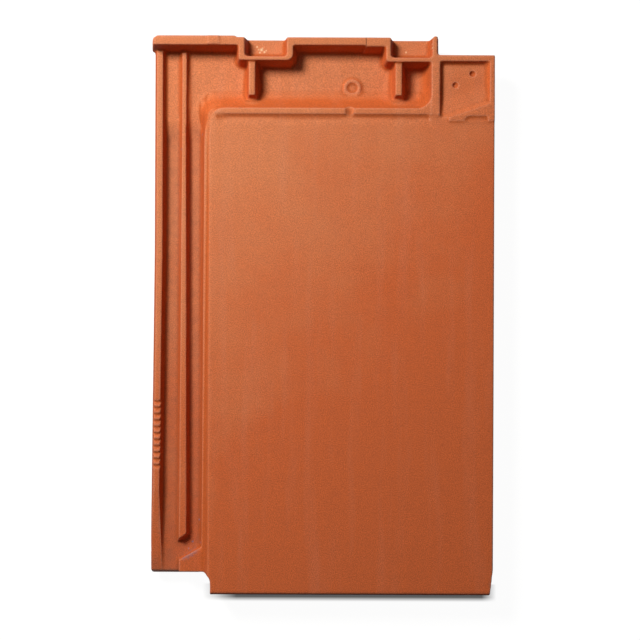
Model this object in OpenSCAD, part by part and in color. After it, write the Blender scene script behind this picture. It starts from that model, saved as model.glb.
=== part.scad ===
// Flat interlocking clay roof tile, pressed and fired as one piece.
// It lies face up on the tips of its two batten nibs and on the nose at its foot.
// +X is across the tile, towards the cover side. +Y runs up the slope, towards the head.
// Inside the modules x is measured from the side lock's outer edge, y from the foot edge,
// d down from the head edge and z from the floor. The tile module centres all of it.

/* [Tile] */
// Width over the side lock and the plate
tile_w = 277.5; // [265:0.5:333]
// Length from the foot edge to the head edge
tile_l = 450; // [375:1:540]
// Height of the plate's face above the floor, which is also the depth of the nose
face_h = 33; // [32:0.5:37]
// Thickness of the plate
plate_t = 14; // [12:0.5:15]

/* [Side lock] */
// Width of the side lock, from its outer edge to the top of the inner channel's wall
lock_w = 41.7; // [39:0.1:46]
// Depth of the two water channels below the face
channel_depth = 17.6; // [16.5:0.1:18.5]
// Depth of the head tray below the face, and of the channels beside it
tray_depth = 15; // [14:0.1:16]
// Depth of the outer rib's top below the face
outer_rib_depth = 9; // [8.5:0.1:10]
// Depth of the inner rib's top below the face
inner_rib_depth = 10; // [9:0.1:11]
// Width of the outer rib's top
outer_rib_w = 4.8; // [4:0.1:6]
// Distance from the outer edge to the middle of the inner rib
inner_rib_x = 24; // [23:0.1:25]
// Width of the inner rib's top at its head end
inner_rib_w = 3; // [2.5:0.1:4]
// How much wider the inner rib's top is at its foot end
inner_rib_flare = 2.8; // [0:0.1:3]
// Thickness of the clay under the channels
lock_t = 9.4; // [8:0.1:11]
// How far the side lock stops short of the foot edge
lock_setback = 16.6; // [15:0.1:24]
// How much further the lock's lower end reaches towards the foot than its upper edge
lock_end_run = 3.4; // [0:0.1:4]
// How much further out the lock's outer edge stands at the foot than at the head
lock_splay = 2.5; // [0:0.1:4]
// Width of the ledge zone between the lock and the plate's face
ledge_w = 3.8; // [3:0.1:5]
// Depth of the ledge below the face at its foot end
ledge_depth = 9.3; // [6:0.1:10]
// Number of gauge marks pressed into the outer rib
mark_count = 11; // [1:1:15]
// Distance from one gauge mark to the next
mark_pitch = 5.2; // [4.4:0.1:7]

/* [Head] */
// Height of the head rib above the face
head_rib_rise = 1.6; // [1.5:0.1:3]
// Width of the head rib's top
head_rib_w = 7.5; // [5:0.1:9]
// Distance from the head edge to the south side of the bar
bar_reach = 62.6; // [59:0.5:64]
// Height of the bar above the face
bar_rise = 1; // [0.6:0.1:1.4]
// Width of the bar's top
bar_w = 4.4; // [4:0.1:6]
// Depth of a notch's shelf below the head rib's top
notch_depth = 11.6; // [8:0.1:13]
// Width of a notch at its top
notch_w = 34; // [30:0.5:36]
// How far the head rib between its two ends stands back from the head edge
head_setback = 1.2; // [0:0.1:2]
// Length of a notch at its top
notch_l = 16.8; // [14:0.1:17.5]
// Distance from the head edge to the end of a lug's top
lug_reach = 47.3; // [40:0.1:50]
// Width of a lug's top
lug_w = 5.2; // [4:0.1:6]
// Outer diameter of the raised ring
ring_d = 15.5; // [12:0.5:17]
// Diameter of the ring's hollow
ring_hollow_d = 9; // [6:0.5:11]

/* [Cover side] */
// Width of the block with the square recess
block_w = 44; // [43:0.5:46]
// How far the block stops short of the head edge
block_setback = 15; // [13:0.5:17]
// Depth of the square recess below its ribs
recess_depth = 4.6; // [3:0.1:5]
// Diameter of a nail mark
nail_d = 4.5; // [3:0.1:6]
// Depth of a nail mark
nail_depth = 2.5; // [2:0.1:3]

/* [Underside] */
// Depth of the batten nibs below the head's underside
nib_depth = 9; // [8:0.5:10]
// Width of a batten nib
nib_w = 28; // [20:1:40]
// Length of a batten nib at its root
nib_l = 16; // [12:0.5:20]
// Distance from the head edge to a nib's bearing face
nib_reach = 46; // [40:0.5:50]
// Length of the nose along the slope
nose_l = 12; // [10:0.5:13]
// Radius of the nose's upper edge
nose_r = 3; // [1:0.5:4]

/* [Hidden] */
$fn = 64;
clay = "#CD7248";

// Heights
channel_z = face_h - channel_depth;
tray_z = face_h - tray_depth;
outer_rib_z = face_h - outer_rib_depth;
inner_rib_z = face_h - inner_rib_depth;
lock_under_z = channel_z - lock_t;
plate_under_z = face_h - plate_t;
head_under_z = nib_depth;
head_rib_z = face_h + head_rib_rise;
bar_z = face_h + bar_rise;
block_z = face_h + 1.5;
shelf_z = head_rib_z - notch_depth;
lug_z = face_h - 0.4;
ledge_foot_z = face_h - ledge_depth;
ledge_head_z = face_h - 1.2;
cover_under_z = outer_rib_z + 1.5;
cover_tip_z = tray_z + 1.5;
groove_z = face_h - 1.3;

// Drafts: how far each kind of wall leans for each millimetre of its height
rib_draft = 0.3;
wall_draft = 0.24;
ledge_draft = 0.5;
head_draft = 0.16;

// Places across the tile
outer_rib_x = 2;
plate_x = lock_w + ledge_w;
wall_foot_x = lock_w - channel_depth * wall_draft;
outer_foot_x = outer_rib_x + outer_rib_w + (outer_rib_z - channel_z) * rib_draft;
inner_run = (inner_rib_z - channel_z) * rib_draft;
inner_rib_w1 = inner_rib_w + inner_rib_flare;
cover_x = tile_w - lock_splay;
block_x = cover_x - block_w;
end_rib_x = block_x - 7.1;
notch_1_x = 73.6;
notch_2_x = block_x - 39.9;
notch_2_w = 33.5;
foot_x = plate_x + 1.5;
ring_x = block_x - 70.4;
gap_x = block_x - 72.8;

// The neighbour on the cover side starts here, so its lock fits under this tile's edge
pitch = cover_x - lock_w + 0.7;
cover_rib_x = pitch + (outer_foot_x + inner_rib_x - inner_rib_w1 / 2 - inner_run) / 2;
cover_lip_x = pitch + inner_rib_x + inner_rib_w1 / 2 + inner_run + 1.2;

// Places down the tile
jog_l = 2.9;
bar_head = bar_reach - bar_w;
tray_run = 15.6;
head_zone = 65;
head_ramp = 17;
batten_zone = 96;
corner_r = 9.7;
pocket_r = 12;
splay_y = 278;
splay_turn = atan(lock_splay / (splay_y - lock_setback + lock_end_run));
rib_end_y = 43.5;
rib_end_rise = 0.68;
rib_fall = 66;

function from_head(d) = tile_l - d;

// A section in x and z, drawn out along the slope from y0 to y1.
module along_slope(y0, y1) {
    translate([0, y1, 0]) rotate([90, 0, 0]) linear_extrude(y1 - y0) children();
}

// A section in y and z, drawn out across the tile from x0 to x1.
module across(x0, x1) {
    translate([x0, 0, 0]) rotate([90, 0, 90]) linear_extrude(x1 - x0) children();
}

// A block whose top runs from x0 to x1 and from d0 to d1 below the head edge, and whose
// four sides lean out towards the bottom.
module drafted(x0, x1, d0, d1, z0, z1, lean = head_draft) {
    run = (z1 - z0) * lean;
    y0 = from_head(d1);
    y1 = from_head(d0);
    intersection() {
        along_slope(y0 - run - 1, y1 + run + 1)
            polygon([[x0 - run, z0], [x1 + run, z0], [x1, z1], [x0, z1]]);
        across(x0 - run - 1, x1 + run + 1)
            polygon([[y0 - run, z0], [y1 + run, z0], [y1, z1], [y0, z1]]);
    }
}

// Four upright cones, one at each corner of a block, hulled into drafted sides with
// round corners. radii run clockwise from the head's left corner.
module rounded_block(x0, x1, d0, d1, z0, z1, radii, lean) {
    run = (z1 - z0) * lean;
    corners = [[x0, d0, 1, 1], [x1, d0, -1, 1], [x1, d1, -1, -1], [x0, d1, 1, -1]];
    hull() for (i = [0 : 3])
        translate([corners[i][0] + corners[i][2] * radii[i], from_head(corners[i][1] + corners[i][3] * radii[i]), z0])
            cylinder(h = z1 - z0, r1 = radii[i] + run, r2 = radii[i], $fn = 32);
}

// The rising curve from a floor up to an edge, as [distance, height] pairs: it starts
// flat and steepens, more so for a higher power.
function swept_wall(run, rise, power, steps = 8) =
    [for (i = [0 : steps]) [run * i / steps, rise * pow(i / steps, power)]];

// ---- Side lock ----

// The inner channel's wall, and the shell of clay under the channels.
module side_lock_section() {
    polygon([
        [12, lock_under_z],
        [12, channel_z],
        [wall_foot_x, channel_z],
        [lock_w, face_h],
        [plate_x + 2, face_h],
        [plate_x + 10, plate_under_z],
        [lock_w + 6, plate_under_z],
        [lock_w - 6, lock_under_z],
    ]);
}

module outer_rib_section() {
    polygon([
        [1.6, lock_under_z],
        [0, lock_under_z + 2],
        [0, outer_rib_z - 5],
        [outer_rib_x, outer_rib_z],
        [outer_rib_x + outer_rib_w, outer_rib_z],
        [outer_foot_x, channel_z],
        [15, channel_z],
        [15, lock_under_z],
    ]);
}

// Turns the outer rib's lower part outwards.
module splayed() {
    translate([0, splay_y, 0]) rotate([0, 0, -splay_turn]) translate([0, -splay_y, 0]) children();
}

module outer_rib() {
    along_slope(splay_y - 0.05, tile_l + 3) outer_rib_section();
    splayed() along_slope(-2, splay_y + 0.05) outer_rib_section();
}

module side_lock() {
    difference() {
        union() {
            intersection() {
                along_slope(0, tile_l) side_lock_section();
                union() {
                    translate([-1, -1, 0]) cube([wall_foot_x + 1, tile_l + 2, face_h + 4]);
                    translate([-1, -1, 0])
                        cube([plate_x + 12, from_head(bar_reach + corner_r) + 1, face_h + 4]);
                }
            }
            outer_rib();
            channel_beds();
            inner_rib_head();
            inner_rib();
            foot_platform();
        }
        splayed() gauge_marks();
        splayed() outer_rib_fall();
        batten_seat();
    }
}

// The channels are shallower beside the head tray, and ramp down to their full depth.
module channel_beds() {
    across(4, lock_w - 2) polygon([
        [from_head(head_zone + head_ramp), channel_z],
        [from_head(head_zone), tray_z],
        [tile_l, tray_z],
        [tile_l, channel_z - 2],
        [from_head(head_zone + head_ramp), channel_z - 2],
    ]);
}

module inner_rib_head() {
    drafted(inner_rib_x - 1.5, inner_rib_x + 1.9, 12, head_zone + 6, channel_z - 1, inner_rib_z, rib_draft);
}

// The inner rib widens down the slope and ends in a slanted face.
module inner_rib() {
    y1 = from_head(head_zone + 4);
    z0 = channel_z - 1;
    run = (inner_rib_z - z0) * rib_draft;
    w0 = inner_rib_w / 2;
    w1 = inner_rib_w1 / 2;
    function end_y(x, shift) = rib_end_y - shift + (x - inner_rib_x + w1) * rib_end_rise;
    function corner(x, z, shift) = [x, end_y(x, shift), z];
    polyhedron(
        points = [
            corner(inner_rib_x - w1 - run, z0, run * 1.2), corner(inner_rib_x + w1 + run, z0, run * 1.2),
            [inner_rib_x + w0 + run, y1, z0], [inner_rib_x - w0 - run, y1, z0],
            corner(inner_rib_x - w1, inner_rib_z, 0), corner(inner_rib_x + w1, inner_rib_z, 0),
            [inner_rib_x + w0, y1, inner_rib_z], [inner_rib_x - w0, y1, inner_rib_z],
        ],
        faces = [[0, 1, 2, 3], [7, 6, 5, 4], [0, 4, 5, 1], [1, 5, 6, 2], [2, 6, 7, 3], [3, 7, 4, 0]]
    );
}

// The outer rib runs down to the channel's bed over its last stretch.
module outer_rib_fall() {
    across(-1, outer_foot_x + 1) polygon([
        [-1, channel_z + 0.5],
        [lock_setback, channel_z + 0.5],
        [lock_setback + rib_fall, outer_rib_z],
        [lock_setback + rib_fall, outer_rib_z + 5],
        [-1, outer_rib_z + 5],
    ]);
}

// A platform across the foot of the inner channel. Its slanted wall turns the water
// towards the outer channel, and the ledge's cut gives it its top.
module foot_platform() {
    height = face_h - channel_z + 2;
    lean = 0.1;
    intersection() {
        translate([wall_foot_x + 0.5, lock_setback + 19.4 - ledge_depth * lean, channel_z - 2])
            rotate([0, 0, 30]) across(-40, 20)
                polygon([[-45, 0], [height * lean, 0], [0, height], [-45, height]]);
        along_slope(0, lock_setback + 40) polygon([
            [inner_rib_x - 3 - (height - ledge_depth) * lean, channel_z - 2],
            [plate_x, channel_z - 2],
            [plate_x, face_h - 0.5],
            [inner_rib_x - 3 + ledge_depth * lean, face_h - 0.5],
        ]);
    }
}

// Saw-tooth marks: each has a steep side towards the head and a bed that rises away.
module gauge_marks() {
    for (i = [0 : mark_count - 1])
        translate([0, lock_setback + rib_fall + 20.7 + i * mark_pitch, outer_rib_z])
            across(outer_rib_x - 0.6, outer_foot_x) polygon([[-3, 0.01], [-0.5, -1.8], [0.2, -1.8], [0.6, 0.01]]);
}

// The lock's underside is raised near the head, where it sits on the batten.
module batten_seat() {
    across(-lock_splay - 2, lock_w + 14) polygon([
        [from_head(batten_zone + 8), -1],
        [from_head(batten_zone), head_under_z],
        [tile_l + 1, head_under_z],
        [tile_l + 1, -1],
    ]);
}

// The ledge beside the face: it falls away towards the foot, and follows the plate's
// round corner at the head.
module ledge_cut() {
    corner_y = from_head(bar_head + corner_r);
    intersection() {
        across(14, plate_x + 1) polygon([
            [-1, ledge_foot_z],
            [lock_setback + 12, ledge_foot_z],
            [corner_y, ledge_head_z],
            [corner_y, face_h + 2],
            [-1, face_h + 2],
        ]);
        along_slope(-1, corner_y) polygon([
            [plate_x, face_h + 0.01],
            [plate_x - ledge_depth * ledge_draft, ledge_foot_z],
            [14, ledge_foot_z],
            [14, face_h + 0.01],
        ]);
    }
    translate([0, 0, ledge_head_z]) linear_extrude(5) polygon(concat(
        [[30, corner_y - 0.01]],
        [for (a = [180 : -10 : 110])
            [plate_x + corner_r + corner_r * cos(a), corner_y + corner_r * sin(a)]],
        [[plate_x + corner_r * 0.6, from_head(bar_head - 8)], [30, from_head(bar_head - 8)]]
    ));
}

// ---- Plate and foot ----

// The plate's section: its face, and the rib and lip that drop into the neighbour's lock.
module plate_section() {
    polygon([
        [lock_w - 6, face_h],
        [cover_x - 0.6, face_h],
        [cover_x, face_h - 0.6],
        [cover_x, face_h - 4],
        [cover_x - 3.4, cover_tip_z],
        [cover_lip_x, cover_tip_z],
        [cover_lip_x - 1, cover_under_z],
        [cover_rib_x + 3.5, cover_under_z],
        [cover_rib_x + 2.4, cover_tip_z],
        [cover_rib_x - 2.4, cover_tip_z],
        [cover_rib_x - 3.5, cover_under_z],
        [pitch - 0.7, cover_under_z],
        [pitch - 1.2, plate_under_z],
        [lock_w - 6, plate_under_z],
    ]);
}

// The plate, with its swept slope down to the tray and its round corner by the lock.
module plate() {
    centre = [plate_x + corner_r, from_head(bar_head + corner_r), 0];
    rise = bar_z - tray_z;
    intersection() {
        along_slope(nose_l, from_head(30)) plate_mass_section();
        across(lock_w - 8, block_x + 1) polygon(concat(
            [[nose_l, plate_under_z], [nose_l, face_h], [from_head(bar_reach + 9), face_h],
             [from_head(bar_reach + 5), face_h - 0.6], [from_head(bar_reach + 1.4), groove_z],
             [from_head(bar_reach), bar_z]],
            [for (p = [8 : -1 : 0]) let (q = swept_wall(tray_run, rise, 1.5)[p])
                [from_head(bar_head - tray_run + q[0]), tray_z + q[1]]],
            [[from_head(bar_head - tray_run), head_under_z], [from_head(58), head_under_z],
             [from_head(70), plate_under_z]]
        ));
        for (a = [22.5 : 22.5 : 67.5]) {
            blend = a / 90;
            top = corner_r + ledge_w * (1 - blend);
            run = 4.2 + (tray_run - 4.2) * blend;
            curve = swept_wall(run, rise, 1 + 0.5 * blend);
            translate(centre) rotate([0, 0, 180 - a]) along_slope(-600, 600) polygon(concat(
                [[-600, -1], [-600, bar_z], [top, bar_z]],
                [for (p = [7 : -1 : 0]) [top + run - curve[p][0], tray_z + curve[p][1]]],
                [[top + run, -1]]
            ));
        }
    }
    along_slope(nose_l, from_head(block_setback)) intersection() {
        plate_section();
        translate([block_x - 4, 0]) square([block_w + 4, face_h + 1]);
    }
}

// Everything from the channel's wall to the cover side, up to the bar's height.
module plate_mass_section() {
    polygon([
        [wall_foot_x - 3 * wall_draft, channel_z - 3],
        [lock_w + bar_rise * wall_draft, bar_z],
        [block_x + 1, bar_z],
        [block_x + 1, 0],
        [lock_w - 6, 0],
    ]);
}

// The rounded nose at the foot, which rests on the tile below.
module nose() {
    across(lock_w - 2, cover_x) polygon(concat(
        [[nose_l + 3, face_h], [nose_l + 3, plate_under_z], [nose_l, 0], [2, 0], [0, 9]],
        [for (a = [0 : 15 : 90]) [nose_r - nose_r * cos(a), face_h - nose_r + nose_r * sin(a)]]
    ));
}

// The foot's plan: the lock stops short, with a slanted end and a round inner corner, and
// the cover side's corner is drawn in a little.
module foot_cut() {
    r = 7;
    translate([0, 0, -1]) linear_extrude(face_h + 5) {
        polygon(concat(
            [[-lock_splay - 1, -1], [foot_x, -1]],
            [for (a = [0 : 10 : 90])
                [foot_x - r + r * cos(a), lock_setback - r + r * sin(a)]],
            [[foot_x - r, lock_setback - lock_end_run], [-lock_splay - 1, lock_setback - lock_end_run]]
        ));
        polygon([[cover_x + 1, -1], [cover_x - 2.4, -1], [cover_x - 2.4, 0], [cover_x, 21], [cover_x + 1, 21]]);
    }
    across(-lock_splay - 1, foot_x - r) polygon([
        [-1, lock_under_z - 1],
        [lock_setback - lock_end_run, lock_under_z - 1],
        [lock_setback - lock_end_run, lock_under_z + 1],
        [lock_setback - 0.3, channel_z],
        [lock_setback, channel_z + 0.6],
        [lock_setback, face_h + 2],
        [-1, face_h + 2],
    ]);
}

// A rib across the underside, which drops behind the head rib of the tile below.
module lap_rib() {
    across(lock_w + 4, pitch - 2) polygon([
        [46, plate_under_z + 1], [48, plate_under_z - 8], [52, plate_under_z - 8], [54, plate_under_z + 1],
    ]);
}

// ---- Head ----

module tray_floor() {
    across(0, block_x) polygon([
        [tile_l, head_under_z], [tile_l, tray_z],
        [from_head(60), tray_z], [from_head(60), head_under_z],
    ]);
}

// A gap in the middle of the bar.
module bar_gap() {
    along_slope(from_head(bar_reach + 3), from_head(bar_head - 2)) translate([gap_x, 0])
        polygon([[-4.4, bar_z + 0.5], [-0.8, groove_z], [0.8, groove_z], [4.4, bar_z + 0.5]]);
}

// South of the bar a shallow groove runs between the face's corner and the end rib.
module bar_ends() {
    across(plate_x + 1, plate_x + 5) polygon([
        [from_head(bar_reach + 10), face_h - 2], [from_head(bar_reach + 9.5), face_h],
        [from_head(bar_head), face_h], [from_head(bar_head), face_h - 2],
    ]);
    across(end_rib_x - 1.6, block_x + 8) polygon([
        [from_head(bar_reach + 12), face_h - 2], [from_head(bar_reach + 11), face_h],
        [from_head(bar_reach + 3), face_h], [from_head(bar_reach), bar_z],
        [from_head(bar_head), bar_z], [from_head(bar_head), face_h - 2],
    ]);
}

module head_rib() {
    z0 = tray_z - 2;
    drafted(0, notch_1_x, -5, head_rib_w, z0, head_rib_z);
    drafted(notch_1_x + notch_w, notch_2_x, -5, head_rib_w, z0, head_rib_z);
    drafted(notch_1_x + notch_w + 63.8, notch_2_x, -5, head_rib_w + 1.1, z0, head_rib_z - 0.4);
    drafted(notch_1_x - 29.5, notch_1_x - 20.6, -5, head_rib_w - 1, head_rib_z - 3, head_rib_z + 0.7, 0.1);
    notch_body(notch_1_x - 4.8, notch_1_x + notch_w + 5, notch_l + jog_l, 5);
    notch_body(notch_2_x - 3.6, notch_2_x + notch_2_w + 4, notch_l + jog_l + 1, 1);
}

module notch_body(x0, x1, back, r) {
    rounded_block(x0, x1, -6, back, tray_z - 2, head_rib_z, [1, 1, r, 1.8], head_draft);
}

// A notch steps back from the head edge over a low shelf.
module notch_cut(x0, x1, back) {
    r = 2.6;
    run = notch_depth * 0.2;
    hull() for (x = [x0 + r, x1 - r], d = [back - r, -6])
        translate([x, from_head(d), shelf_z])
            cylinder(h = notch_depth + 0.01, r1 = r - run, r2 = r, $fn = 24);
}

// A lug stands behind each notch, in line with a nib below, and slopes down at its end.
module lug(x) {
    intersection() {
        drafted(x, x + lug_w, notch_l + 1, lug_reach + 3, tray_z - 2, lug_z, 0.2);
        across(x - 10, x + lug_w + 10) polygon([
            [tile_l, lug_z + 1],
            [tile_l, tray_z - 3],
            [from_head(lug_reach + 4.6), tray_z - 3],
            [from_head(lug_reach + 4.6), tray_z],
            [from_head(lug_reach), lug_z],
            [from_head(lug_reach - 1), lug_z + 1],
        ]);
    }
}

module end_rib() {
    drafted(end_rib_x, block_x + 1, notch_l, bar_reach, tray_z - 2, face_h + 1.4, 0.1);
}

// The pocket beside the end rib has a round inner corner and swept walls.
module pocket_corner() {
    rise = bar_z - tray_z;
    run = 9.4;
    along_slope(from_head(bar_reach - 2), from_head(notch_l + 6)) polygon(concat(
        [[end_rib_x + 2, tray_z - 2], [end_rib_x - run, tray_z - 2]],
        [for (q = swept_wall(run, rise - 0.3, 2.6)) [end_rib_x - run + q[0], tray_z + q[1]]],
        [[end_rib_x + 2, bar_z - 0.3]]
    ));
    translate([end_rib_x - pocket_r, from_head(bar_head - pocket_r), 0]) for (a = [22.5 : 22.5 : 67.5]) {
        reach = run + (tray_run - run) * a / 90;
        top_z = bar_z - (90 - a) / 300;
        curve = swept_wall(reach, top_z - tray_z, 2.6 - 1.1 * a / 90);
        rotate([0, 0, -a]) along_slope(-5.4, 5.4) polygon(concat(
            [[pocket_r + 4, tray_z - 2], [pocket_r - reach, tray_z - 2]],
            [for (q = curve) [pocket_r - reach + q[0], tray_z + q[1]]],
            [[pocket_r + 4, top_z]]
        ));
    }
}

module ring() {
    translate([ring_x, from_head(39.3), tray_z - 1]) difference() {
        cylinder(d1 = ring_d + 3, d2 = ring_d - 2, h = 2.9);
        translate([0, 0, 1.3]) cylinder(d = ring_hollow_d, h = 2);
    }
}

// ---- Cover side's head block ----

module head_block() {
    across(block_x - 3, cover_x) polygon([
        [from_head(bar_reach + 1), face_h - 3], [from_head(bar_reach + 1), block_z - 0.3],
        [from_head(block_setback), block_z], [from_head(block_setback), face_h - 3],
    ]);
    across(block_x + 7, cover_x) polygon([
        [from_head(bar_reach + 5.6), face_h - 2], [from_head(bar_reach + 5.6), face_h + 0.9],
        [from_head(bar_reach), block_z - 0.3], [from_head(bar_reach), face_h - 2],
    ]);
}

// The square recess, with a sloped south side that runs out towards the plate.
module recess() {
    floor_z = block_z - recess_depth;
    intersection() {
        along_slope(from_head(bar_reach + 6), from_head(block_setback)) polygon([
            [block_x - 0.4, block_z + 0.3],
            [block_x + 1.2, floor_z],
            [cover_x - 6.8, floor_z],
            [cover_x - 3.7, block_z + 0.3],
        ]);
        across(block_x - 2, cover_x) polygon([
            [from_head(bar_reach + 6), block_z + 0.3],
            [from_head(bar_reach + 6), floor_z],
            [from_head(block_setback + 6.3), floor_z],
            [from_head(block_setback + 4.8), block_z + 0.3],
        ]);
        translate([cover_x - 6.5, from_head(bar_head - 2), 0]) rotate([0, 0, 19.6]) across(-60, 20) polygon([
            [0, block_z + 0.3],
            [5, floor_z + 2],
            [17, floor_z],
            [70, floor_z],
            [70, block_z + 0.3],
        ]);
    }
}

// A shallow groove south of the block, level with the face.
module block_groove() {
    r = 5;
    translate([0, 0, face_h - 0.3]) linear_extrude(4) polygon(concat(
        [[cover_x - 5.6, from_head(bar_reach + 5.5)], [cover_x - 5.6, from_head(bar_reach + 1.3)]],
        [for (a = [90 : 15 : 165])
            [cover_x - 19.5 + r * cos(a), from_head(bar_reach + 1.3) - r * 0.85 + r * 0.85 * sin(a)]],
        [[cover_x - 25, from_head(bar_reach + 5.5)]]
    ));
}

module nail_mark(x, d) {
    translate([x, from_head(d), block_z - recess_depth - nail_depth]) cylinder(d = nail_d, h = recess_depth + nail_depth);
}

// ---- Underside ----

module nib(x) {
    across(x - nib_w / 2, x + nib_w / 2) polygon([
        [from_head(nib_reach), 0],
        [from_head(nib_reach), head_under_z + 2],
        [from_head(nib_reach - nib_l), head_under_z + 2],
        [from_head(nib_reach - nib_l), head_under_z],
        [from_head(nib_reach - nib_l + 4), 0],
    ]);
}

module tile() {
    color(clay) translate([lock_splay - tile_w / 2, -tile_l / 2, 0]) intersection() {
        translate([-lock_splay, 0, 0]) cube([tile_w, tile_l, face_h + 4]);
        difference() {
            union() {
                side_lock();
                plate();
                nose();
                lap_rib();
                tray_floor();
                head_rib();
                lug(notch_1_x + 3.3);
                lug(notch_2_x + 4);
                end_rib();
                pocket_corner();
                ring();
                bar_ends();
                head_block();
                nib(notch_1_x + 5.9);
                nib(notch_2_x + 6.6);
            }
            ledge_cut();
            notch_cut(notch_1_x, notch_1_x + notch_w, notch_l);
            notch_cut(notch_2_x, notch_2_x + notch_2_w, notch_l + 0.7);
            recess();
            block_groove();
            bar_gap();
            foot_cut();
            nail_mark(cover_x - 31.4, 38.6);
            nail_mark(cover_x - 17.6, 29.4);
            // The head's outline: a chamfer by the lock, a middle set back a little, and a
            // step at the block
            translate([0, 0, -1]) linear_extrude(face_h + 6) {
                polygon([[notch_1_x - 7.2, tile_l + 1], [notch_1_x - 7.2, from_head(head_setback)],
                         [notch_2_x + notch_2_w + 0.9, from_head(head_setback)],
                         [notch_2_x + notch_2_w + 1.8, tile_l + 1]]);
                polygon([[-1, tile_l + 1], [3.4, tile_l + 1], [3.4, tile_l], [0, tile_l - 2.2], [-1, tile_l - 2.2]]);
                polygon([[block_x - 1, tile_l + 1], [block_x - 0.8, from_head(block_setback - 0.01)],
                         [cover_x + 1, from_head(block_setback - 0.01)], [cover_x + 1, tile_l + 1]]);
            }
        }
    }
}

tile();
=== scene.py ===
"""A flat interlocking clay roof tile, pressed from one clot of red clay and fired once.

The pressed body comes from the frame. It is worn soft at its arrises, as wet clay leaves the
mould, and then given its fired colour, with some painted shade and bounce light, and a floor,
a lamp and a camera.
"""

import math

import bpy
import numpy as np
import openvdb as vdb
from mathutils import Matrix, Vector


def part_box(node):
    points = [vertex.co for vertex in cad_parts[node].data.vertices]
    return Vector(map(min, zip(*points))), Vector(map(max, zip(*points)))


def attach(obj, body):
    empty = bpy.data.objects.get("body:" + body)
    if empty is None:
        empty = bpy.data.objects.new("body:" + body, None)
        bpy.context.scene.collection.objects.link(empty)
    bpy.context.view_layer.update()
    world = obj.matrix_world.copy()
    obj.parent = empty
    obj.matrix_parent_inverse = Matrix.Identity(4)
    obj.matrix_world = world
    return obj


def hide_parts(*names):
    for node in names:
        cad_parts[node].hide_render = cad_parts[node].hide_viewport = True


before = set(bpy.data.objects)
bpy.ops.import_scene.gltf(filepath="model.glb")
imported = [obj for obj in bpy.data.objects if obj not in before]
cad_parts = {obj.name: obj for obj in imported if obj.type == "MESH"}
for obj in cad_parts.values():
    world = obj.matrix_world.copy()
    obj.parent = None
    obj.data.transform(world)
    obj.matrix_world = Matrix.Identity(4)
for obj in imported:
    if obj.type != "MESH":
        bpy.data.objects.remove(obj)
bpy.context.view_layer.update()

# ---------------------------------------------------------------------------
# The pressed body
# One clot of red clay, struck between two plaster-faced moulds and trimmed while damp, so
# every arris is soft, hollows are filleted, and the faces are flat only to a few tenths.
# ---------------------------------------------------------------------------

MM = 0.001
GRID = 0.62 * MM
BAND = 10
ARRIS = 0.5 * MM
FILLET = 1.5 * MM
SWEPT_FILLET = 3.2 * MM
SPONGED_EDGE = 1.4 * MM
SPONGED_FOOT = 4.4 * MM
TRIANGLES_KEPT = 180000

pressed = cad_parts["tile"]
low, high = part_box("tile")


def mesh_arrays(mesh):
    """The corner points and the triangles of a mesh, as arrays."""
    mesh.calc_loop_triangles()
    points = np.zeros(len(mesh.vertices) * 3, np.float32)
    mesh.vertices.foreach_get("co", points)
    triangles = np.zeros(len(mesh.loop_triangles) * 3, np.int32)
    mesh.loop_triangles.foreach_get("vertices", triangles)
    return points.reshape(-1, 3), triangles.reshape(-1, 3)


def blur(field, radius):
    """Spreads a field by a bell curve of this radius, in cells, one axis after another."""
    reach = int(math.ceil(radius * 3))
    weights = np.exp(-0.5 * (np.arange(-reach, reach + 1) / radius) ** 2)
    weights = (weights / weights.sum()).astype(np.float32)
    for axis in range(3):
        margins = [(reach, reach) if a == axis else (0, 0) for a in range(3)]
        padded = np.pad(field, margins, mode="edge")
        size = field.shape[axis]
        total = np.zeros_like(field)
        for step, weight in enumerate(weights):
            part = [slice(None)] * 3
            part[axis] = slice(step, step + size)
            total += padded[tuple(part)] * weight
        field = total
    return field


def along(axis, values):
    """A row of values laid along one axis, so that it spreads over the other two."""
    bend = [1, 1, 1]
    bend[axis] = -1
    return values.reshape(bend).astype(np.float32)


def waves(shape, spacing, cell, seed):
    """Soft random swells with this spacing, in cells of this size, between about -1 and 1."""
    random = np.random.default_rng(seed)
    knots = [max(2, int(math.ceil(n * cell / s)) + 3) for n, s in zip(shape, spacing)]
    field = random.uniform(-1, 1, knots).astype(np.float32)
    for axis in range(3):
        place = np.arange(shape[axis]) * cell / spacing[axis]
        base = np.floor(place).astype(int)
        t = (place - base).astype(np.float32)
        t = t * t * (3 - 2 * t)
        t = along(axis, t)
        field = np.take(field, base, axis) * (1 - t) + np.take(field, base + 1, axis) * t
    return field


def sample(field, places):
    """The field's value at places given in cells, blended between the eight nearest."""
    top = np.array(field.shape) - 2
    base = np.clip(np.floor(places).astype(int), 0, top)
    t = np.clip(places - base, 0, 1).astype(np.float32)
    value = np.zeros(len(places), np.float32)
    for i in (0, 1):
        for j in (0, 1):
            for k in (0, 1):
                share = (
                    (t[:, 0] if i else 1 - t[:, 0])
                    * (t[:, 1] if j else 1 - t[:, 1])
                    * (t[:, 2] if k else 1 - t[:, 2])
                )
                value += share * field[base[:, 0] + i, base[:, 1] + j, base[:, 2] + k]
    return value


# The distance to the clay's surface, on a fine grid: negative inside the clay.
points, triangles = mesh_arrays(pressed.data)
level = vdb.FloatGrid.createLevelSetFromPolygons(
    points.astype(np.float64),
    triangles=triangles.astype(np.uint32),
    transform=vdb.createLinearTransform(voxelSize=GRID),
    halfWidth=BAND,
)
margin = BAND + 2
first = np.floor(np.array(low) / GRID).astype(int) - margin
last = np.ceil(np.array(high) / GRID).astype(int) + margin
distance = np.zeros(last - first + 1, np.float32)
level.copyToArray(distance, ijk=tuple(int(c) for c in first))
del level


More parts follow.
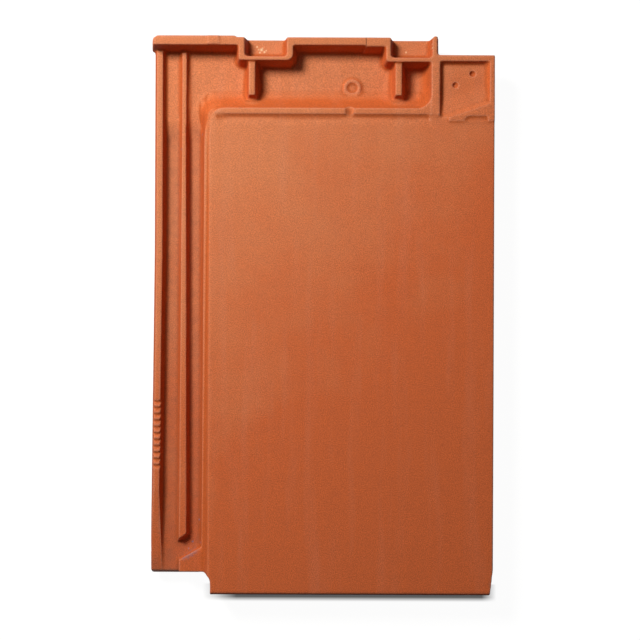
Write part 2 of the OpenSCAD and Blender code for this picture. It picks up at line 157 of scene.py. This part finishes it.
def span(axis, start, end):
    """The cells between two places along an axis, in metres from the middle or the floor."""
    return slice(int(start / GRID) - first[axis], int(end / GRID) - first[axis])


def ramp(axis, cells, points, values):
    """Values that change along one axis, for the cells of a span."""
    places = (np.arange(cells.start, cells.stop) + first[axis]) * GRID
    return along(axis, np.interp(places, points, values))


# Where a mould is scraped out, its inner corners are round, and clay fills them.
sharp = distance
distance = np.minimum(distance, blur(distance, FILLET / GRID))
filled = np.clip((sharp - distance) / MM, 0, 1)

# The tray's slope and its pocket are swept out wider. The bar above them stays crisp.
tray = (span(0, -0.116, 0.092), span(1, 0.160, 0.200), span(2, 0.012, 0.038))
block = distance[tray]
swept = np.minimum(block, blur(sharp[tray], SWEPT_FILLET / GRID))
share = ramp(1, tray[1], (0.1660, 0.1690, 0.190, 0.199), (0, 1, 1, 0))
share = share * ramp(2, tray[2], (0.029, 0.0335), (1, 0))
share = share * ramp(0, tray[0], (-0.114, -0.106), (0, 1))
distance[tray] = block + (swept - block) * share

# The face's corner beside the lock is rounded by hand with a wet sponge, most at its foot.
corner = (span(0, -0.113, -0.070), span(1, 0.140, 0.192), span(2, 0.010, 0.040))
block = distance[corner]
soft = blur(block, SPONGED_EDGE / GRID)
softer = blur(block, SPONGED_FOOT / GRID)
soft = soft + (softer - soft) * ramp(2, corner[2], (0.0295, 0.0335), (1, 0))
share = ramp(0, corner[0], (-0.111, -0.103, -0.083, -0.076), (0, 1, 1, 0))
share = share * ramp(1, corner[1], (0.142, 0.158, 0.178, 0.188), (0, 1, 1, 0))
distance[corner] = block + (soft - block) * share

# The trimming wire leaves a faint bead and a scratch along the face's edge by the lock.
BEAD_X, BEAD_HEIGHT = -0.0919, 0.24 * MM
SCRATCH_X, SCRATCH_DEPTH = -0.0905, 0.2 * MM
BEAD_WIDTH = 0.8 * MM
edge = (span(0, -0.096, -0.086), span(1, -0.2245, 0.158), span(2, 0.030, 0.037))
across = (np.arange(edge[0].start, edge[0].stop) + first[0]) * GRID
bead = BEAD_HEIGHT * np.exp(-(((across - BEAD_X) / BEAD_WIDTH) ** 2))
bead -= SCRATCH_DEPTH * np.exp(-(((across - SCRATCH_X) / BEAD_WIDTH) ** 2))
distance[edge] -= along(0, bead) * ramp(1, edge[1], (0.120, 0.155), (1, 0))

# Damp clay sags a little off every arris.
crisp = distance
distance = blur(distance, ARRIS / GRID)
worn = np.clip((distance - crisp) / MM, 0, 1)
del sharp, crisp

# The mould faces and the drying rack leave swells of a few hundredths of a millimetre.
distance += waves(distance.shape, (0.030, 0.055, 0.030), GRID, 3) * 0.05 * MM
distance += waves(distance.shape, (0.006, 0.009, 0.006), GRID, 8) * 0.02 * MM

# Nothing stands outside the pressed box, so the tile keeps its size and stands level.
for axis in range(3):
    cells = (np.arange(distance.shape[axis]) + first[axis]) * GRID
    outside = np.maximum(low[axis] - cells, cells - high[axis])
    np.maximum(distance, along(axis, outside), out=distance)

surface = vdb.FloatGrid(BAND * GRID)
surface.copyFromArray(distance, tolerance=0.0)
surface.transform = vdb.createLinearTransform(voxelSize=GRID)
skin_points, skin_triangles, skin_quads = surface.convertToPolygons(isovalue=0.0, adaptivity=0.02)
del surface

skin = bpy.data.meshes.new("tile_skin")
skin_points = np.asarray(skin_points, np.float32) + (first * GRID).astype(np.float32)
faces = [tuple(t) for t in np.asarray(skin_triangles).tolist()]
faces += [tuple(q) for q in np.asarray(skin_quads).tolist()]
skin.from_pydata(skin_points.tolist(), [], faces)
skin.validate()
tile = bpy.data.objects.new("roof_tile", skin)
bpy.context.scene.collection.objects.link(tile)

# The flat faces need few triangles, and the arrises keep most of them.
count = sum(len(f) - 2 for f in faces)
if count > TRIANGLES_KEPT:
    thin = tile.modifiers.new("thin", "DECIMATE")
    thin.ratio = TRIANGLES_KEPT / count
    thin.use_collapse_triangulate = True
    depsgraph = bpy.context.evaluated_depsgraph_get()
    thinned = bpy.data.meshes.new_from_object(tile.evaluated_get(depsgraph))
    tile.modifiers.clear()
    tile.data = thinned

# Each corner point goes back onto the clay's surface and takes its slope from it.
skin = tile.data
points = np.zeros(len(skin.vertices) * 3, np.float32)
skin.vertices.foreach_get("co", points)
points = points.reshape(-1, 3)


def slope(places):
    """The direction in which the distance grows fastest at places given in cells."""
    steps = np.eye(3, dtype=np.float32) * 0.8
    grown = [sample(distance, places + step) - sample(distance, places - step) for step in steps]
    grown = np.stack(grown, 1)
    return grown / np.maximum(np.linalg.norm(grown, axis=1, keepdims=True), 1e-9)


for _ in range(2):
    cells = points / GRID - first
    points -= slope(cells) * np.clip(sample(distance, cells), -0.3 * MM, 0.3 * MM)[:, None]
points = np.clip(points, np.array(low, np.float32), np.array(high, np.float32))
skin.vertices.foreach_set("co", points.ravel())
cells = points / GRID - first
normals = slope(cells)
arris_wear = sample(worn, cells)
corner_fill = sample(filled, cells)
del distance, worn, filled

skin.polygons.foreach_set("use_smooth", np.ones(len(skin.polygons), bool))
skin.update()
skin.normals_split_custom_set_from_vertices(normals.tolist())

# Three maps for the colour: how far an arris is rubbed, how far a corner is filled (painted
# shade), and how steep a wall is (painted bounce light), from 0 for level to 1 for upright.
for name, values in (
    ("arris", np.clip(arris_wear * 10, 0, 1)),
    ("hollow", np.clip(corner_fill * 2.2, 0, 1)),
    ("steep", np.clip(1 - normals[:, 2], 0, 1)),
):
    layer = skin.attributes.new(name, "FLOAT", "POINT")
    layer.data.foreach_set("value", values.astype(np.float32))

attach(tile, "root")
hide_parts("tile")

# ---------------------------------------------------------------------------
# The fired clay
# Natural red brick earth, unglazed and fired at about 1000 degrees: dry, open and matte.
# Flat faces carry a pale salt bloom; steep faces get painted bounce light, hollows painted shade.
# ---------------------------------------------------------------------------

CLAY_PALE = "#CF7A4D"
CLAY_RED = "#CC6333"
CLAY_WALL_BOUNCE = "#D0652E"
CLAY_STEEP_BOUNCE = "#C65C26"
CLAY_HOLLOW_SHADE = "#B0501C"
SALT_BLOOM = "#D9A188"
ASH_BLUE = "#8B7480"
CHANNEL_SHADE_BROWN = "#7A5040"
FOOT_SHADE = "#4A1A0B"
SLIP_WHITE = "#F1CFA2"
SEAM_X = 0.03505
SEAM_HALF_WIDTH = 0.0004
CHANNEL_FLOOR_Z = 0.0166
FOOT_EDGE_Y = -0.2228


def linear(colour):
    """An sRGB hex colour as linear red, green, blue and alpha."""
    parts = [int(colour[i : i + 2], 16) / 255 for i in (1, 3, 5)]
    return [p / 12.92 if p <= 0.04045 else ((p + 0.055) / 1.055) ** 2.4 for p in parts] + [1.0]


def add(kind, inputs=(), output=0, **settings):
    """Adds one node to the tree and gives back one of its outputs.

    inputs are (its input, a value or another node's output) pairs.
    """
    node = tree.nodes.new("ShaderNode" + kind)
    for name, value in settings.items():
        setattr(node, name, value)
    for socket, source in inputs:
        if isinstance(source, bpy.types.NodeSocket):
            tree.links.new(source, node.inputs[socket])
        else:
            node.inputs[socket].default_value = source
    return node.outputs[output] if node.outputs else None


clay = bpy.data.materials.new("fired_red_clay")
clay.use_nodes = True
tree = clay.node_tree
tree.nodes.clear()
COLOURS = {"data_type": "RGBA", "output": 2}
place = add("TexCoord", output="Object")
arris = add("Attribute", attribute_name="arris", output="Fac")
hollow = add("Attribute", attribute_name="hollow", output="Fac")
steep = add("Attribute", attribute_name="steep", output="Fac")
across = add("SeparateXYZ", [("Vector", place)], output="X")
down = add("SeparateXYZ", [("Vector", place)], output="Y")
up = add("SeparateXYZ", [("Vector", place)], output="Z")

# Clay from different parts of the clot: clouds 45 mm across.
cloud_shape = [("Vector", place), ("Scale", 22.0), ("Detail", 3.0), ("Roughness", 0.55)]
clouds = add("TexNoise", cloud_shape)
# Mottling 7 mm across, from uneven drying.
mottle_shape = [("Vector", place), ("Scale", 140.0), ("Detail", 4.0), ("Roughness", 0.6)]
mottle = add("TexNoise", mottle_shape)
# Grains of 0.8 mm.
grain_shape = [("Vector", place), ("Scale", 1300.0), ("Detail", 2.0), ("Roughness", 0.7)]
grain = add("TexNoise", grain_shape)
# Streaks of bloom that ran down the slope: 14 mm apart and 160 mm long.
down_slope = add("Mapping", [("Vector", place), ("Scale", (70.0, 6.0, 60.0))])
streak_shape = [("Vector", down_slope), ("Scale", 1.0), ("Detail", 3.0), ("Roughness", 0.6)]
streaks = add("TexNoise", streak_shape)

# The face is paler towards the head on the lock's side.
lean = add("Math", [(0, across), (1, -0.9), (2, down)], operation="MULTIPLY_ADD")
lean = add("Math", [(0, clouds), (1, 0.26), (2, lean)], operation="MULTIPLY_ADD")
head_paleness = add("MapRange", [(0, lean), (1, 0.06), (2, 0.32)])
face = add("Mix", [(0, head_paleness), (6, linear(CLAY_RED)), (7, linear(CLAY_PALE))], **COLOURS)

# The steeper a wall, the deeper its orange: painted bounce light from the clay around it.
sheer = add("MapRange", [(0, steep), (1, 0.15), (2, 0.6)])
wall_bounce = add("Mix", [(0, sheer), (6, linear(CLAY_WALL_BOUNCE)), (7, linear(CLAY_STEEP_BOUNCE))], **COLOURS)
wall = add("MapRange", [(0, steep), (1, 0.02), (2, 0.32)])
colour = add("Mix", [(0, wall), (6, face), (7, wall_bounce)], **COLOURS)
# Filled inner corners are painted darker: painted shade in the hollows.
corner_shade = add("MapRange", [(0, hollow), (1, 0.1), (2, 0.9), (4, 0.75)])
colour = add("Mix", [(0, corner_shade), (6, colour), (7, linear(CLAY_HOLLOW_SHADE))], **COLOURS)

# Salt bloom: faint pale streaks on flat faces, and a rubbed line along the arrises.
pale = add("MapRange", [(0, streaks), (1, 0.5), (2, 0.8), (4, 0.1)])
colour = add("Mix", [(0, pale), (6, colour), (7, linear(SALT_BLOOM))], **COLOURS)
rubbed = add("MapRange", [(0, arris), (1, 0.2), (2, 0.9), (4, 0.2)])
colour = add("Mix", [(0, rubbed), (6, colour), (7, linear(SALT_BLOOM))], **COLOURS)

# The channel floors are painted a mottled darker brown: painted shade in the sunk channels.
channel_shade_inputs = [(0, up), (1, CHANNEL_FLOOR_Z), (2, CHANNEL_FLOOR_Z + MM), (3, 1.0), (4, 0.0)]
sunk = add("MapRange", channel_shade_inputs)
channel_shade = add("MapRange", [(0, mottle), (1, 0.35), (2, 0.7), (3, 0.12), (4, 0.42)])
channel_shade = add("Math", [(0, channel_shade), (1, sunk)], operation="MULTIPLY")
open_sky = add("MapRange", [(0, steep), (1, 0.6), (2, 0.85), (3, 1.0), (4, 0.0)])
channel_shade = add("Math", [(0, channel_shade), (1, open_sky)], operation="MULTIPLY")
colour = add("Mix", [(0, channel_shade), (6, colour), (7, linear(CHANNEL_SHADE_BROWN))], **COLOURS)

# The foot's rounded edge is painted dark: painted shade where it turns away from the lamp.
foot_inputs = [(0, down), (1, FOOT_EDGE_Y), (2, FOOT_EDGE_Y - 1.2 * MM), (3, 0.0), (4, 0.85)]
foot = add("MapRange", foot_inputs)
rim = add("MapRange", [(0, up), (1, 0.0285), (2, 0.0305)])
foot = add("Math", [(0, foot), (1, rim)], operation="MULTIPLY")
colour = add("Mix", [(0, foot), (6, colour), (7, linear(FOOT_SHADE))], **COLOURS)

# Spots of ash blue and of white slip: the place, the radius, the colour and how dense it is.
SPOTS = (
    (-0.0973, 0.1471, 0.0010, ASH_BLUE, 0.9),
    (-0.1146, 0.1352, 0.0009, ASH_BLUE, 0.9),
    (-0.1048, -0.1850, 0.0011, ASH_BLUE, 0.9),
    (-0.0979, -0.1852, 0.0010, ASH_BLUE, 0.9),
    (-0.1080, -0.1906, 0.0009, ASH_BLUE, 0.8),
    (-0.0993, -0.1668, 0.0009, ASH_BLUE, 0.9),
    (-0.1112, -0.1972, 0.0022, ASH_BLUE, 0.35),
    (-0.1083, -0.1957, 0.0028, ASH_BLUE, 0.45),
    (-0.1050, -0.1938, 0.0028, ASH_BLUE, 0.45),
    (-0.1018, -0.1917, 0.0026, ASH_BLUE, 0.35),
    (0.0678, 0.2142, 0.0009, SLIP_WHITE, 0.8),
    (0.0878, 0.2185, 0.0008, SLIP_WHITE, 0.7),
    (0.0878, 0.2156, 0.0010, SLIP_WHITE, 0.8),
    (-0.0472, 0.2140, 0.0011, SLIP_WHITE, 0.8),
    (-0.0532, 0.2181, 0.0010, SLIP_WHITE, 0.7),
    (-0.0496, 0.2158, 0.0015, SLIP_WHITE, 0.8),
    (-0.0519, 0.2160, 0.0009, SLIP_WHITE, 0.6),
    (-0.0458, 0.2152, 0.0007, SLIP_WHITE, 0.7),
    (-0.0509, 0.2136, 0.0009, SLIP_WHITE, 0.7),
    (-0.0485, 0.2172, 0.0008, SLIP_WHITE, 0.6),
)
for x, y, size, tone, strength in SPOTS:
    flat = add("CombineXYZ", [("X", across), ("Y", down)])
    ragged = [(0, grain), (1, 2.4 * size), (2, -1.2 * size)]
    ragged = add("Math", ragged, operation="MULTIPLY_ADD")
    away = add("VectorMath", [(0, flat), (1, (x, y, 0.0))], output="Value", operation="DISTANCE")
    away = add("Math", [(0, away), (1, ragged)], operation="ADD")
    inside = add("MapRange", [(0, away), (1, 0.4 * size), (2, size), (3, strength), (4, 0.0)])
    inside = add("Math", [(0, inside), (1, open_sky)], operation="MULTIPLY")
    colour = add("Mix", [(0, inside), (6, colour), (7, linear(tone))], **COLOURS)

# Uneven drying and single grains shade the colour a little.
tint = add("MapRange", [(0, mottle), (1, 0.3), (2, 0.7), (3, 0.965), (4, 1.03)])
fine = add("MapRange", [(0, grain), (1, 0.3), (2, 0.7), (3, 0.68), (4, 1.3)])
shade = add("Math", [(0, tint), (1, fine)], operation="MULTIPLY")

# A hairline where two mould parts met crosses the head rib.
seam = add("Math", [(0, across), (1, SEAM_X), (2, SEAM_HALF_WIDTH)], operation="COMPARE")
head = add("MapRange", [(0, down), (1, 0.2165), (2, 0.2175), (4, 0.6)])
seam = add("Math", [(0, seam), (1, head)], operation="MULTIPLY")
shade = add("Math", [(0, seam), (1, -0.9), (2, shade)], operation="MULTIPLY_ADD")
colour = add("VectorMath", [(0, colour), (3, shade)], operation="SCALE")

rough = add("MapRange", [(0, mottle), (1, 0.3), (2, 0.7), (3, 0.78), (4, 0.92)])
pits = add("Bump", [("Strength", 0.8), ("Distance", 0.00016), ("Height", grain)])
drag_inputs = [("Strength", 0.3), ("Distance", 0.00025), ("Height", mottle), ("Normal", pits)]
drag = add("Bump", drag_inputs)
surface = add(
    "BsdfPrincipled",
    [
        ("Base Color", colour),
        ("Roughness", rough),
        ("IOR", 1.5),
        ("Specular IOR Level", 0.3),
        ("Normal", drag),
    ],
)
add("OutputMaterial", [("Surface", surface)])
tile.data.materials.clear()
tile.data.materials.append(clay)

# ---------------------------------------------------------------------------
# The floor
# A plain white sheet of matte paper lit from below, so that the tile's shadow is faint, with a
# thin painted shadow on the paper just below its foot.
# ---------------------------------------------------------------------------

FLOOR_REACH = 6.0
BACKLIGHT = 0.96

floor_mesh = bpy.data.meshes.new("floor")
ends = ((-1, -1), (1, -1), (1, 1), (-1, 1))
floor_mesh.from_pydata([(FLOOR_REACH * x, FLOOR_REACH * y, 0) for x, y in ends], [], [(0, 1, 2, 3)])
floor = bpy.data.objects.new("floor", floor_mesh)
bpy.context.scene.collection.objects.link(floor)
paper = bpy.data.materials.new("white_paper_floor")
paper.use_nodes = True
tree = paper.node_tree
tree.nodes.clear()
place = add("TexCoord", output="Object")
across = add("SeparateXYZ", [("Vector", place)], output="X")
down = add("SeparateXYZ", [("Vector", place)], output="Y")
# A painted shadow: the paper's glow is dimmed in a thin strip just beyond the tile's foot.
beyond = add("Math", [(0, down), (1, -0.2305), (2, 0.008)], operation="COMPARE")
fade = add("MapRange", [(0, down), (1, -0.2372), (2, -0.2334), (3, 0.0), (4, 0.86)])
beyond = add("Math", [(0, beyond), (1, fade)], operation="MULTIPLY")
left = add("MapRange", [(0, across), (1, -0.098), (2, -0.070)])
right = add("MapRange", [(0, across), (1, 0.134), (2, 0.146), (3, 1.0), (4, 0.0)])
painted_foot_shadow = add("Math", [(0, left), (1, right)], operation="MULTIPLY")
painted_foot_shadow = add("Math", [(0, painted_foot_shadow), (1, beyond)], operation="MULTIPLY")
backlight = add("Math", [(0, BACKLIGHT), (1, painted_foot_shadow)], operation="SUBTRACT")
surface = add(
    "BsdfPrincipled",
    [
        ("Base Color", linear("#5C5B5A")),
        ("Roughness", 0.9),
        ("Specular IOR Level", 0.1),
        ("Emission Color", linear("#FFFFFF")),
        ("Emission Strength", backlight),
    ],
)
add("OutputMaterial", [("Surface", surface)])
floor_mesh.materials.append(paper)
floor.visible_diffuse = False

# ---------------------------------------------------------------------------
# The lamp and the camera
# One soft box beyond the tile's head on the lock side, a weak sky, and a camera that looks
# straight down from a metre above the face.
# ---------------------------------------------------------------------------

face_z = 33 * MM
lamp_data = bpy.data.lights.new("soft_box", "AREA")
lamp_data.shape = "DISK"
lamp_data.size = 0.40
lamp_data.energy = 15.7
lamp_data.color = (1.0, 0.985, 0.96)
lamp = bpy.data.objects.new("soft_box", lamp_data)
bpy.context.scene.collection.objects.link(lamp)
lamp.location = (-0.575, 0.61, 0.863)
towards_tile = Vector((0.0, 0.0, face_z)) - lamp.location
lamp.rotation_euler = towards_tile.to_track_quat("-Z", "Y").to_euler()

sky = bpy.data.worlds.new("studio_walls")
sky.use_nodes = True
tree = sky.node_tree
tree.nodes.clear()
around = add("TexCoord", output="Generated")
height = add("SeparateXYZ", [("Vector", around)], output="Z")
dimmed = add("MapRange", [(0, height), (1, -0.1), (2, 0.3), (3, 0.03), (4, 0.085)])
glow = add("Background", [("Color", (1.0, 0.97, 0.94, 1.0)), ("Strength", dimmed)])
add("OutputWorld", [("Surface", glow)])
bpy.context.scene.world = sky

camera_data = bpy.data.cameras.new("camera")
camera_data.sensor_width = 36.0
camera_data.lens = 69.95
camera = bpy.data.objects.new("camera", camera_data)
bpy.context.scene.collection.objects.link(camera)
camera.location = (-0.00125, -0.0034, face_z + 1.0)
camera.rotation_euler = (0.0, 0.0, math.radians(0.22))
bpy.context.scene.camera = camera
bpy.context.scene.view_settings.view_transform = "Standard"

bpy.context.view_layer.update()
